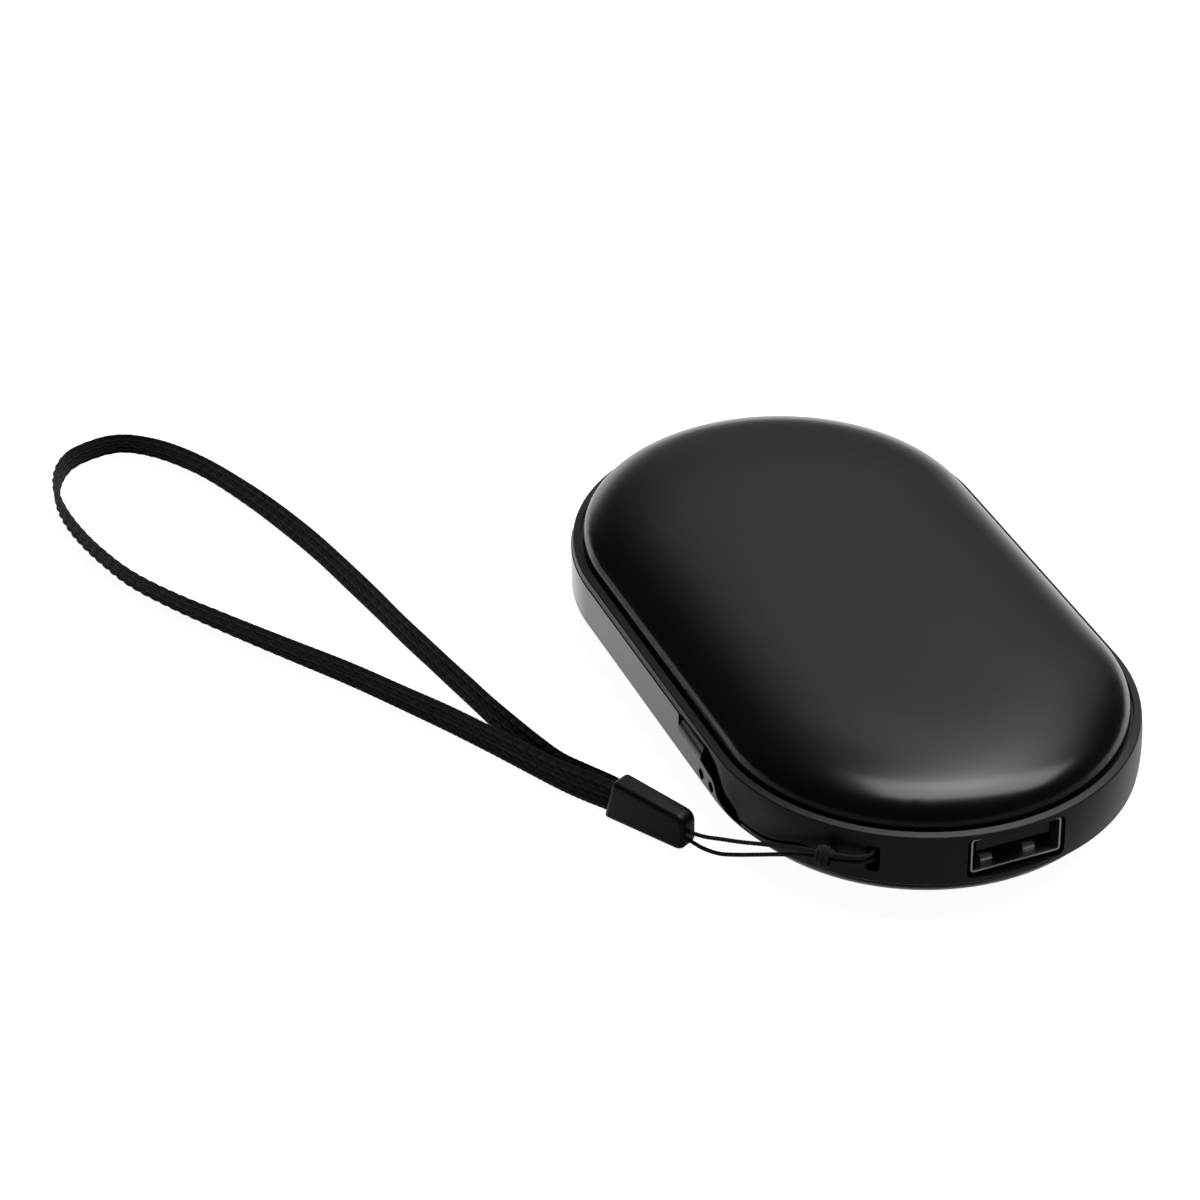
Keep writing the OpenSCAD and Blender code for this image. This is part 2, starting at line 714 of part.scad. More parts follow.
// Board: rounded front, two arms beside the cell
arm_end = 8.5;
cell_clear = 0.5;
arm_inner = cell_w / 2 + cell_clear;
board_inset = 3;
board_front = usb_face - board_inset;
module circuit_board() color([0.05, 0.3, 0.16]) difference() {
    translate([0, 0, board_low]) intersection() {
        round_ended([[0, 0], [board_r, 0], [board_r, board_t], [0, board_t]]);
        translate([-half_w, -board_front, 0]) cube([body_w, board_front - arm_end, board_t]);
    }
    translate([-arm_inner, cell_front - cell_clear, board_low - cut])
        cube([2 * arm_inner, cell_l, board_t + 2 * cut]);
    screw_holes(screw_d + 4 * fit, board_low - cut, board_top + cut);
    for (place = board_screw_places) translate([place[0], place[1], board_low - cut])
        cylinder(d = board_screw_d + 4 * fit, h = board_t + 2 * cut);
}

// Screws that hold the board to the shelves
board_screw_d = 1.2;
board_screw_head = 2.4;
board_screw_head_h = 1;
board_screw_x = rib_inner_r - shelf_reach;
board_screw_places = [for (side = [-1, 1]) [side * board_screw_x, -port_place + shelf_w * 5 / 4]];
module board_screws() color([0.7, 0.7, 0.7]) for (place = board_screw_places)
    translate([place[0], place[1], board_top]) {
        cylinder(d = board_screw_head, h = board_screw_head_h);
        translate([0, 0, -board_t]) cylinder(d = board_screw_d, h = board_t + fit);
    }

// Parts on the board
chip_w = 5;
chip_t = 1;
inductor_w = 6;
inductor_h = 3;
inductor_dish = 0.5;
chip_clear = 0.728;

// Room on the board: sideways as far as the screw bosses, and from the cell to the socket
board_reach = front_boss[0] - boss_d / 2 - chip_clear - chip_w / 2;
board_gap = usb_back + cell_front;
chip_shares = [[-0.8696, 0.36], [-0.2174, 0.36], [1, 0.72]];
capacitor_shares = [[-0.9565, 0.72], [-0.6957, 0.72], [-0.4348, 0.72], [-0.2174, 0.72],
                    [0, 0.72], [0.6957, 0.72], [0.7826, 0.36], [0.9565, 0.36]];
inductor_shares = [0.4348, 0.36];
function on_board(shares, size) = [
    board_reach * shares[0] - size / 2, cell_front - board_gap * shares[1] - size / 2, board_top
];
module controller_chips() color([0.06, 0.06, 0.07]) for (shares = chip_shares)
    translate(on_board(shares, chip_w)) cube([chip_w, chip_w, chip_t]);
module power_inductor() color([0.25, 0.25, 0.27])
    translate(on_board(inductor_shares, inductor_w)) difference() {
        cube([inductor_w, inductor_w, inductor_h]);
        translate([inductor_w / 2, inductor_w / 2, inductor_h - inductor_dish])
            cylinder(d = inductor_w * 2 / 3, h = cut);
    }
module capacitors() color([0.65, 0.55, 0.4]) for (shares = capacitor_shares)
    translate(on_board(shares, lamp_d)) cube([2 * lamp_d, lamp_d, lamp_d]);

// Cell with its folded front and small protection board
cell_corner = 2;
module battery_cell() color([0.7, 0.72, 0.74])
    translate([0, cell_front, mid_z]) rounded_bar([cell_w, cell_l, cell_t], cell_corner);
guard_w = 24;
guard_t = 0.8;
guard_h = 3.6;
module cell_protection_board() color([0.75, 0.6, 0.15])
    translate([-guard_w / 2, cell_front - guard_t, mid_z + fit])
        cube([guard_w, guard_t, guard_h]);

// Heater films glued inside the shells
heater_first = 11;
heater_section = concat(
    tail(inner_curve, heater_first), [[0, seam_h + shell_rise - shell_t],
    [0, seam_h + shell_rise - shell_t - heater_t]],
    reversed([for (p = tail(inner_curve, heater_first)) [p[0], p[1] - heater_t]]));
module top_heater() color([0.8, 0.45, 0.1]) over_joint() round_ended(heater_section);
module bottom_heater() color([0.8, 0.45, 0.1]) under_joint() round_ended(heater_section);

// Foam between the cell and the heaters
pad_first = 14;
pad_curve = [for (p = tail(inner_curve, pad_first)) [p[0], p[1] - heater_t]];
pad_section = concat(
    [[0, cell_t / 2], [pad_curve[0][0], cell_t / 2]], pad_curve,
    [[0, seam_h + shell_rise - shell_t - heater_t]]);
module top_foam_pad() color([0.3, 0.3, 0.33]) over_joint() round_ended(pad_section);
module bottom_foam_pad() color([0.3, 0.3, 0.33]) under_joint() round_ended(pad_section);

// Round lead or cord swept through its route with a steady section
function unit(v) = v / norm(v);
function along(path, i) =
    unit(path[min(i + 1, len(path) - 1)] - path[max(i - 1, 0)]);
function square_to(v, t) = unit(v - (v * t) * t);
function carried(path, start) = [
    for (i = 0, s = square_to(start, along(path, 0)); i < len(path);
         i = i + 1, s = i < len(path) ? square_to(s, along(path, i)) : s) s
];
module tube(path, d, start) {
    sides = 8;
    across = carried(path, start);
    rings = [
        for (i = [0 : len(path) - 1], k = [0 : sides - 1])
            let (t = along(path, i), s = across[i], u = cross(t, s), a = 360 * k / sides)
                path[i] + d / 2 * (cos(a) * s + sin(a) * u)
    ];
    last = (len(path) - 1) * sides;
    skin = [
        for (i = [0 : len(path) - 2], k = [0 : sides - 1])
            let (a = i * sides + k, b = i * sides + (k + 1) % sides)
                each [[a, b, b + sides], [a, b + sides, a + sides]]
    ];
    first_cap = [for (k = [1 : sides - 2]) [0, k + 1, k]];
    last_cap = [for (k = [1 : sides - 2]) [last, last + k, last + k + 1]];
    polyhedron(rings, concat(skin, first_cap, last_cap));
}

// Leads inside the case
lead_d = 1;
lead_share = 0.32;
lead_x = usb_w * lead_share;
lead_y = cell_front - guard_t - lead_d / 2;
guard_low = mid_z + fit;
module battery_leads() color([0.7, 0.1, 0.1]) for (side = [-1, 1])
    tube([[side * lead_x, lead_y, guard_low + guard_h],
          [side * lead_x, lead_y - fit, guard_low + guard_h / 2],
          [side * lead_x, lead_y - lead_d / 2, guard_low],
          [side * lead_x, lead_y - lead_d / 2, board_top]], lead_d, [1, 0, 0]);
// Spot of the heaters' edge where their leads start, and the angles of the leads
lead_spot = inner_curve[heater_first + 1];
lead_end = lead_spot[1] - heater_t - lead_d / 6;
top_lead_angles = [46, 51];
bottom_lead_angles = [24, 29];
module top_heater_leads() color([0.85, 0.85, 0.85]) for (angle = top_lead_angles)
    at_end_angle(angle) translate([0, -lead_spot[0], board_top])
        cylinder(d = lead_d, h = mid_z + lead_end - board_top);
module bottom_heater_leads() color([0.2, 0.2, 0.2]) for (angle = bottom_lead_angles)
    at_end_angle(angle) translate([0, -lead_spot[0], mid_z - lead_end])
        cylinder(d = lead_d, h = board_low - mid_z + lead_end);
bead_d = 1.6;
module thermistor() color([0.1, 0.1, 0.1])
    translate([cell_w / 2 + bead_d / 2 + fit, 0, cell_low + bead_d]) sphere(d = bead_d);

module lanyard_pin() color([0.8, 0.8, 0.82]) pin_shape(0);

// Thin cord: out of the toggle, round the pin behind the slot and back
lanyard_route = [
    [-35.6, -21.8, 3.2], [-34.3, -24.2, 3.3], [-33.2, -26.4, 3.8], [-32, -28.7, 4.7],
    [-30.6, -31.5, 5.8], [-29.1, -34.3, 7], [-27.6, -37.4, 8.4], [-26.3, -40, 9.5],
    [-25.2, -42.1, 10.3], [-23.9, -43.9, 10.7], [-22.3, -45.4, 10.8], [-20.7, -46.5, 10.9],
    [-19.5, -47, 11], [-18.6, -46.9, 11.1], [-17.9, -46.1, 11.2], [-17, -44.9, 11.3],
    [-15.9, -43.5, 11.3], [-15.4, -42.8, 11], [-15, -42.4, 10.3], [-14.9, -42.3, 9.5],
    [-15.2, -42.6, 8.8], [-15.9, -43.5, 8.5], [-17, -44.9, 8.8], [-17.9, -46.1, 9.6],
    [-18.6, -46.9, 10.1], [-19.5, -47.1, 10.2], [-20.7, -46.6, 10.1], [-22.3, -45.5, 10],
    [-23.9, -44, 9.8], [-25.2, -42.2, 9.4], [-26.6, -39.6, 8.2], [-27.9, -36.6, 6.5],
    [-29.2, -34, 5], [-30.6, -31.6, 3.7], [-32.2, -29, 2.5], [-33.5, -26.5, 2],
    [-34.5, -24.2, 2], [-35.6, -21.8, 2.1]
];
module lanyard_cord() color([0.08, 0.08, 0.08])
    tube(lanyard_route, cord_d, [0, 0, 1]);

// Hitch of the cord round its own strands
hitch_place = [-24, -44, 10.2];
hitch_d = 2.6;
hitch_h = 3.8;
hitch_slot_w = 1.4;
hitch_slot_h = 2.4;
module cord_hitch() color([0.08, 0.08, 0.08]) translate(hitch_place) difference() {
    union() {
        translate([0, 0, -(hitch_h - hitch_d) / 2]) cylinder(d = hitch_d, h = hitch_h - hitch_d);
        for (end = [-1, 1]) translate([0, 0, end * (hitch_h - hitch_d) / 2])
            sphere(d = hitch_d);
    }
    rotate([0, 0, -50]) cube([body_w, hitch_slot_w, hitch_slot_h], center = true);
}

// Toggle, standing on its edge
toggle_place = [-40.3, -12];
toggle_heading = -65.1;
toggle_chamfer = 0.5;
pocket_l = 6;
pocket_play = 0.15;
cord_hole_l = 5;
cord_hole_w = 1.6;
cord_hole_h = 2.9;
module toggle_side(length, high, low, slant) {
    // Tapered outline with cut corners; its top edge starts a slant further on
    polygon([[0, toggle_chamfer - high / 2], [toggle_chamfer, -high / 2],
             [length - 2 * toggle_chamfer, -low / 2], [length, -low / 4],
             [length, low / 4], [length - 2 * toggle_chamfer, low / 2],
             [toggle_chamfer + slant, high / 2], [slant, high / 2 - toggle_chamfer]]);
}
module strap_toggle() color([0.1, 0.1, 0.1])
    translate([toggle_place[0], toggle_place[1], toggle_h / 2])
        rotate([0, 0, toggle_heading]) difference() {
            intersection() {
                rotate([90, 0, 0]) translate([0, 0, -toggle_t])
                    linear_extrude(2 * toggle_t)
                        toggle_side(toggle_l, toggle_h, toggle_small_h, toggle_slant);
                translate([0, 0, -toggle_h]) linear_extrude(2 * toggle_h)
                    toggle_side(toggle_l, toggle_t, toggle_small_t, 0);
            }
            translate([-cut, -strap_t - pocket_play, -strap_w / 2 - pocket_play])
                cube([pocket_l + cut, 2 * (strap_t + pocket_play),
                      strap_w + 2 * pocket_play]);
            translate([toggle_l - cord_hole_l, -cord_hole_w / 2, -cord_hole_h / 2])
                cube([cord_hole_l + cut, cord_hole_w, cord_hole_h]);
        }

// Webbing: foot of the band (x, y, z), and how far its top edge leans inwards
strap_lean_way = [-0.3, -0.95];
strap_route = [
    [-38.2, -15.3, 0.45, 0], [-39.3, -13, 0.45, 0], [-40.5, -10.6, 0.4, 0], [-42.4, -6.6, 0.2, 0.3],
    [-44.2, -2.6, 0.1, 0.6], [-45.8, 2.4, 0.1, 0.5], [-47.3, 8, 0.1, 0.3], [-48.5, 13, 0.1, 0.2],
    [-49.4, 18, 0.1, 0.3], [-50.4, 23.4, 0.1, 0.4], [-51.5, 29.4, 0.1, 0.4], [-52.9, 36.9, 0.1, 0.3],
    [-54.2, 44.9, 0.1, 0.1], [-55.7, 53.4, 0.1, 0.1], [-57.3, 62.4, 0.1, 0.5], [-59.4, 71.4, 0.1, 0.9],
    [-61.8, 80.3, 0.1, 1.6], [-64.8, 89.2, 0.1, 2.2], [-67.8, 95.2, 0.1, 2.4], [-71.2, 99.8, 0.1, 2.6],
    [-75, 102.6, 0.1, 2.7], [-79.2, 102.7, 0.1, 2.7], [-83.4, 101.1, 0.1, 2.8],
    [-86.4, 97.4, 0.1, 2.8], [-88.1, 92.3, 0.1, 2.8], [-88.5, 86.5, 0.1, 2.8], [-87.9, 80.3, 0.1, 2.9],
    [-86.5, 73.8, 0.1, 3.1], [-84.4, 66.8, 0.1, 3], [-80.7, 59.2, 0.1, 2.9], [-75.6, 50.3, 0.1, 2.5],
    [-69.5, 40.3, 0.1, 2.1], [-63.3, 30.3, 0.1, 1.7], [-57.6, 20.2, 0.1, 1.4], [-54.4, 14.3, 0.1, 1.1],
    [-51.3, 8.3, 0.1, 1], [-48.4, 2.4, 0.1, 0.8], [-45.6, -3.3, 0.1, 0.6], [-43.5, -7.3, 0.2, 0.3],
    [-41.5, -11.1, 0.4, 0], [-40.3, -13.5, 0.45, 0], [-39.2, -15.8, 0.45, 0]
];
module wrist_strap() color([0.1, 0.1, 0.1]) {
    foot = [for (p = strap_route) [p[0], p[1], p[2]]];
    corners = [
        for (i = [0 : len(foot) - 1])
            let (t = along(foot, i), n = unit([t[1], -t[0], 0]) * strap_t / 2,
                 lean = strap_route[i][3],
                 top = foot[i] + [strap_lean_way[0] * lean, strap_lean_way[1] * lean,
                                  sqrt(strap_w * strap_w - lean * lean)])
                each [foot[i] - n, foot[i] + n, top + n, top - n]
    ];
    last = (len(foot) - 1) * 4;
    skin = [
        for (i = [0 : len(foot) - 2], k = [0 : 3])
            let (a = i * 4 + k, b = i * 4 + (k + 1) % 4)
                each [[a, b + 4, b], [a, a + 4, b + 4]]
    ];
    polyhedron(corners, concat(skin, [[0, 1, 2], [0, 2, 3],
               [last, last + 2, last + 1], [last, last + 3, last + 2]]));
}

top_shell();
bottom_shell();
upper_frame();
lower_frame();
side_panel();
power_button();
button_switch();
switch_plunger();
light_guides();
status_leds();
usb_a_shell();
usb_a_tongue();
usb_a_contacts();
charging_port_shell();
charging_port_tongue();
circuit_board();
controller_chips();
power_inductor();
capacitors();
battery_cell();
cell_protection_board();
battery_leads();
top_heater();
bottom_heater();
top_heater_leads();
bottom_heater_leads();
thermistor();
top_foam_pad();
bottom_foam_pad();
frame_screws();
board_screws();
lanyard_pin();
lanyard_cord();
cord_hitch();
strap_toggle();
wrist_strap();
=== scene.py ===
import math

import bmesh
import bpy
from mathutils import Matrix, Vector


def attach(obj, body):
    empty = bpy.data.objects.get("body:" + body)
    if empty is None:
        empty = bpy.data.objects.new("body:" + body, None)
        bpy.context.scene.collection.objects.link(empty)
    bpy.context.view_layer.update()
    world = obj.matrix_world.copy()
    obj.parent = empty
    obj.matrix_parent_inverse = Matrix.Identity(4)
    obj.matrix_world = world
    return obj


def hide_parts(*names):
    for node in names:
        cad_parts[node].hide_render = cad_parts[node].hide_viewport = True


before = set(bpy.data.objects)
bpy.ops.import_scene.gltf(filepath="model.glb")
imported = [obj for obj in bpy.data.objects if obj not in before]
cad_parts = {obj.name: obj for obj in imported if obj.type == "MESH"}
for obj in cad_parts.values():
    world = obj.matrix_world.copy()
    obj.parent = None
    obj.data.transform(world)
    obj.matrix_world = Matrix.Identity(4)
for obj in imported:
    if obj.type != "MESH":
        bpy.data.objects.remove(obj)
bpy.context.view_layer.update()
bpy.ops.object.select_all(action="DESELECT")
MM = 0.001

# Camera: the photograph's own standpoint, 613 mm from the middle of the scene. The level
# directions ahead of it and to its right also place the studio's lights
camera_place = Vector((-216.93, -446.10, 356.63)) * MM
camera_target = Vector((-28.166, 22.655, 9.9)) * MM
camera_roll = math.radians(-0.793)
camera_lens = 129.62
ahead_level = Vector((0.3735, 0.9277, 0))
right_level = Vector((0.9277, -0.3735, 0))


def place_camera():
    data = bpy.data.cameras.new("studio_camera")
    data.lens = camera_lens
    data.sensor_width = 36
    data.clip_start = 0.01
    data.clip_end = 20
    camera = bpy.data.objects.new("studio_camera", data)
    bpy.context.scene.collection.objects.link(camera)
    ahead = (camera_target - camera_place).normalized()
    side = ahead.cross(Vector((0, 0, 1))).normalized()
    up = side.cross(ahead)
    turned_side = math.cos(camera_roll) * side + math.sin(camera_roll) * up
    turned_up = -math.sin(camera_roll) * side + math.cos(camera_roll) * up
    pose = Matrix((turned_side, turned_up, -ahead)).transposed().to_4x4()
    pose.translation = camera_place
    camera.matrix_world = pose
    bpy.context.scene.camera = camera


place_camera()

# Route of the thin cord, in millimetres
cord_route = [
    (-35.6, -21.8, 3.2), (-34.3, -24.2, 3.3), (-33.2, -26.4, 3.8), (-32, -28.7, 4.7),
    (-30.6, -31.5, 5.8), (-29.1, -34.3, 7), (-27.6, -37.4, 8.4), (-26.3, -40, 9.5),
    (-25.2, -42.1, 10.3), (-23.9, -43.9, 10.7), (-22.3, -45.4, 10.8), (-20.7, -46.5, 10.9),
    (-19.5, -47, 11), (-18.6, -46.9, 11.1), (-17.9, -46.1, 11.2), (-17, -44.9, 11.3),
    (-15.9, -43.5, 11.3), (-15.4, -42.8, 11), (-15, -42.4, 10.3), (-14.9, -42.3, 9.5),
    (-15.2, -42.6, 8.8), (-15.9, -43.5, 8.5), (-17, -44.9, 8.8), (-17.9, -46.1, 9.6),
    (-18.6, -46.9, 10.1), (-19.5, -47.1, 10.2), (-20.7, -46.6, 10.1), (-22.3, -45.5, 10),
    (-23.9, -44, 9.8), (-25.2, -42.2, 9.4), (-26.6, -39.6, 8.2), (-27.9, -36.6, 6.5),
    (-29.2, -34, 5), (-30.6, -31.6, 3.7), (-32.2, -29, 2.5), (-33.5, -26.5, 2),
    (-34.5, -24.2, 2), (-35.6, -21.8, 2.1),
]

# Route of the strap: the lower edge of the band, and how far its upper edge leans aside
strap_foot = [
    (-38.2, -15.3, 0.45), (-39.3, -13, 0.45), (-40.5, -10.6, 0.4), (-42.4, -6.6, 0.2),
    (-44.2, -2.6, 0.1), (-45.8, 2.4, 0.1), (-47.3, 8, 0.1), (-48.5, 13, 0.1), (-49.4, 18, 0.1),
    (-50.4, 23.4, 0.1), (-51.5, 29.4, 0.1), (-52.9, 36.9, 0.1), (-54.2, 44.9, 0.1),
    (-55.7, 53.4, 0.1), (-57.3, 62.4, 0.1), (-59.4, 71.4, 0.1), (-61.8, 80.3, 0.1),
    (-64.8, 89.2, 0.1), (-67.8, 95.2, 0.1), (-71.2, 99.8, 0.1), (-75, 102.6, 0.1),
    (-79.2, 102.7, 0.1), (-83.4, 101.1, 0.1), (-86.4, 97.4, 0.1), (-88.1, 92.3, 0.1),
    (-88.5, 86.5, 0.1), (-87.9, 80.3, 0.1), (-86.5, 73.8, 0.1), (-84.4, 66.8, 0.1),
    (-80.7, 59.2, 0.1), (-75.6, 50.3, 0.1), (-69.5, 40.3, 0.1), (-63.3, 30.3, 0.1),
    (-57.6, 20.2, 0.1), (-54.4, 14.3, 0.1), (-51.3, 8.3, 0.1), (-48.4, 2.4, 0.1),
    (-45.6, -3.3, 0.1), (-43.5, -7.3, 0.2), (-41.5, -11.1, 0.4), (-40.3, -13.5, 0.45),
    (-39.2, -15.8, 0.45),
]
strap_lean = [
    0, 0, 0, 0.3, 0.6, 0.5, 0.3, 0.2, 0.3, 0.4, 0.4, 0.3, 0.1, 0.1, 0.5, 0.9, 1.6, 2.2, 2.4,
    2.6, 2.7, 2.7, 2.8, 2.8, 2.8, 2.8, 2.9, 3.1, 3, 2.9, 2.5, 2.1, 1.7, 1.4, 1.1, 1, 0.8, 0.6,
    0.3, 0, 0, 0,
]
strap_lean_way = (-0.3, -0.95)

# Cord: thickness, step along it, points round it, and its strands: how many cross each way,
# how fast they turn, how far they stand out and the share of the width below them
cord_thick, cord_step, cord_sides = 0.55, 0.16, 18
strand_count, strand_turn, strand_relief, strand_base = 4, 5.2, 0.035, 0.95

# Strap: width in the open and in the toggle, the length over which one becomes the other, the
# shift aside in the open, thickness, rounded edge and step along it
strap_width, strap_in_toggle, strap_ease, strap_shift = 5.7, 5.3, 12.0, 0.55
strap_thick, strap_round, strap_edge, strap_step = 1.0, 0.4, 0.42, 0.17

# Braid of the strap: rows of yarn, length of one yarn top, relief and slant, steps in a row
# and round an edge
braid_rows, braid_pitch, braid_depth, braid_slant = 5, 2.0, 0.36, 0.8
row_steps, edge_steps = 5, 5


def smooth_line(points, step):
    """Even steps along a smooth line through the points."""
    padded = [points[0] * 2 - points[1]] + points + [points[-1] * 2 - points[-2]]
    fine = []
    for i in range(1, len(padded) - 2):
        p0, p1, p2, p3 = padded[i - 1:i + 3]
        for k in range(24):
            t = k / 24
            fine.append(0.5 * ((2 * p1) + (p2 - p0) * t + (2 * p0 - 5 * p1 + 4 * p2 - p3) * t * t
                               + (3 * p1 - p0 - 3 * p2 + p3) * t ** 3))
    fine.append(points[-1].copy())
    reach = [0.0]
    for a, b in zip(fine, fine[1:]):
        reach.append(reach[-1] + (Vector(b[:3]) - Vector(a[:3])).length)
    count = max(2, round(reach[-1] / step))
    line, j = [], 0
    for k in range(count + 1):
        goal = reach[-1] * k / count
        while j < len(fine) - 2 and reach[j + 1] < goal:
            j += 1
        share = (goal - reach[j]) / max(1e-9, reach[j + 1] - reach[j])
        line.append(fine[j].lerp(fine[j + 1], min(1.0, share)))
    return line, reach[-1]


def mesh_piece(name, places, faces, uvs=None):
    mesh = bpy.data.meshes.new(name)
    mesh.from_pydata([tuple(p) for p in places], [], faces)
    if uvs:
        layer = mesh.uv_layers.new(name="UVMap")
        for loop, uv in zip(layer.data, uvs):
            loop.uv = uv
    piece = bpy.data.objects.new(name, mesh)
    bpy.context.scene.collection.objects.link(piece)
    for face in mesh.polygons:
        face.use_smooth = True
    mesh.update()
    return piece


def rings_piece(name, rings, along):
    """Closed tube from equal rings, with capped ends and a UV map in millimetres."""
    count, sides = len(rings), len(rings[0])
    places = [p for ring in rings for p in ring]
    faces, uvs = [], []
    girth = [0.0]
    for k in range(sides):
        girth.append(girth[-1] + (rings[0][k] - rings[0][(k + 1) % sides]).length / MM)
    for i in range(count - 1):
        for k in range(sides):
            n = (k + 1) % sides
            faces.append((i * sides + k, i * sides + n, (i + 1) * sides + n, (i + 1) * sides + k))
            u0, u1 = along[i], along[i + 1]
            uvs += [(u0, girth[k]), (u0, girth[k + 1]), (u1, girth[k + 1]), (u1, girth[k])]
    faces.append(tuple(reversed(range(sides))))
    faces.append(tuple(range((count - 1) * sides, count * sides)))
    uvs += [(0, 0)] * (2 * sides)
    return mesh_piece(name, places, faces, uvs)


def braided_cord(name, route, thick):
    """Round braided cord: crossing strands stand out of a tube that follows the route."""
    line, length = smooth_line([Vector(p) for p in route], cord_step)
    across = Vector((0, 0, 1))
    rings, along = [], []
    for i, p in enumerate(line):
        t = (line[min(i + 1, len(line) - 1)] - line[max(i - 1, 0)]).normalized()
        across = (across - across.dot(t) * t).normalized()
        other = t.cross(across)
        u = length * i / (len(line) - 1)
        ring = []
        for k in range(cord_sides):
            a = 2 * math.pi * k / cord_sides
            left = math.sin(strand_count * a + u / thick * strand_turn)
            right = math.sin(strand_count * a - u / thick * strand_turn)
            relief = strand_relief * max(left, right)
            r = thick / 2 * (strand_base + relief / thick * 2)
            ring.append((p + r * (math.cos(a) * across + math.sin(a) * other)) * MM)
        rings.append(ring)
        along.append(u)
    return rings_piece(name, rings, along), [p * MM for p in line], length * MM


def stitch_height(u, row, local):
    """Height of the flat braid, 0 to 1: slanted yarn tops, one after another in each row."""
    slant = 1 if row % 2 else -1
    turn = (u / braid_pitch + slant * (local - 0.5) * braid_slant + 0.5 * (row % 2)) % 1
    crown = max(0.0, math.sin(math.pi * turn)) ** 0.55
    edge = max(0.0, math.sin(math.pi * local)) ** 0.5
    return crown * edge


def braided_strap():
    """Flat braided webbing on its edge, as one band that follows the strap's route."""
    places = [Vector((*foot, lean)) for foot, lean in zip(strap_foot, strap_lean)]
    line, length = smooth_line(places, strap_step)
    half_t = strap_thick / 2 - 0.02
    rings, along, middle = [], [], []
    for i, here in enumerate(line):
        u = length * i / (len(line) - 1)
        ease = min(1.0, u / strap_ease, (length - u) / strap_ease)
        ease = ease * ease * (3 - 2 * ease)
        width = strap_in_toggle + (strap_width - strap_in_toggle) * ease
        p = Vector(here[:3]) + Vector((*strap_lean_way, 0)) * strap_shift * ease
        lean = here[3]
        a, b = line[max(i - 1, 0)], line[min(i + 1, len(line) - 1)]
        t = (Vector(b[:3]) - Vector(a[:3])).normalized()
        rise = Vector((strap_lean_way[0] * lean, strap_lean_way[1] * lean,
                       math.sqrt(width ** 2 - lean ** 2)))
        centre = p + rise / 2
        wide = (rise - rise.dot(t) * t).normalized()
        thick = t.cross(wide)
        ring = []
        half_w = width / 2 - strap_edge
        for face in (1, -1):
            shift = 0 if face > 0 else braid_pitch / 4
            for row in range(braid_rows):
                for k in range(row_steps + (row == braid_rows - 1)):
                    local = k / row_steps
                    v = -1 + 2 * (row + local) / braid_rows
                    h = stitch_height(u + shift, row, local)
                    ring.append(centre + face * v * half_w * wide
                                + face * (half_t - braid_depth + braid_depth * h) * thick)
            for k in range(1, edge_steps + 1):
                a = math.pi / 2 - math.pi * k / (edge_steps + 1)
                turn = (u / braid_pitch * 2 + (a + 1) * 0.25) % 1
                h = max(0.0, math.sin(math.pi * turn)) ** 0.6
                out = half_w + (strap_round - 0.1 + 0.1 * h) * math.cos(a)
                ring.append(centre + face * out * wide
                            + face * (half_t - braid_depth) * math.sin(a) * thick)
        rings.append([q * MM for q in ring])
        along.append(u)
        middle.append(centre * MM)
    strap = rings_piece("braided_wrist_strap", rings, along)
    return strap, middle, length * MM


lanyard, lanyard_line, lanyard_length = braided_cord("braided_lanyard_cord", cord_route,
                                                     cord_thick)
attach(lanyard, "root")
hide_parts("lanyard_cord")

strap, strap_line, strap_length = braided_strap()
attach(strap, "root")
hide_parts("wrist_strap")


# Hitch: three turns of the same cord wound tightly round its own strands
hitch_centre = Vector((-24, -44, 10.2))
hitch_run = Vector((-0.66, 0.75, 0.12))
hitch_long, hitch_high, hitch_deep = 1.9, 1.42, 0.95
hitch_turns, hitch_start, hitch_taper, hitch_swell = 3.3, 0.8, 0.3, 1.25


def cord_hitch():
    run = hitch_run.normalized()
    up = (Vector((0, 0, 1)) - run.z * run).normalized()
    out = run.cross(up)
    if out.dot(Vector((-1, -1, 0))) < 0:
        out = -out
    route = []
    steps = 66
    for i in range(steps + 1):
        s = i / steps
        a = 2 * math.pi * hitch_turns * s + hitch_start
        shift = (s - 0.5) * hitch_long
        swell = 1 - hitch_taper * (2 * s - 1) ** 2
        route.append(hitch_centre + run * shift + up * hitch_high * swell * math.sin(a)
                     + out * hitch_deep * swell * math.cos(a))
    piece, _, _ = braided_cord("lanyard_hitch", route, cord_thick * hitch_swell)
    return piece


hitch = cord_hitch()
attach(hitch, "root")
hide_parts("cord_hitch")


# Toggle: a tapered block on its edge, with rounded corners, soft edges and a pocket for the
# webbing
toggle_start = Vector((-40.84, -11.6, 0))
toggle_heading = math.radians(-63)
toggle_long, toggle_high, toggle_low = 14, 6.7, 5.5
toggle_wide, toggle_narrow, toggle_slant = 3.4, 3, 1.6
toggle_corner, toggle_soft, toggle_wall, toggle_pocket = 1.45, 0.75, 0.42, 5


def select_only(piece):
    bpy.ops.object.select_all(action="DESELECT")
    piece.select_set(True)
    bpy.context.view_layer.objects.active = piece


def edit(piece):
    select_only(piece)
    bpy.ops.object.mode_set(mode="EDIT")
    bpy.ops.mesh.select_all(action="DESELECT")
    return bmesh.from_edit_mesh(piece.data)


def done():
    bpy.ops.object.mode_set(mode="OBJECT")


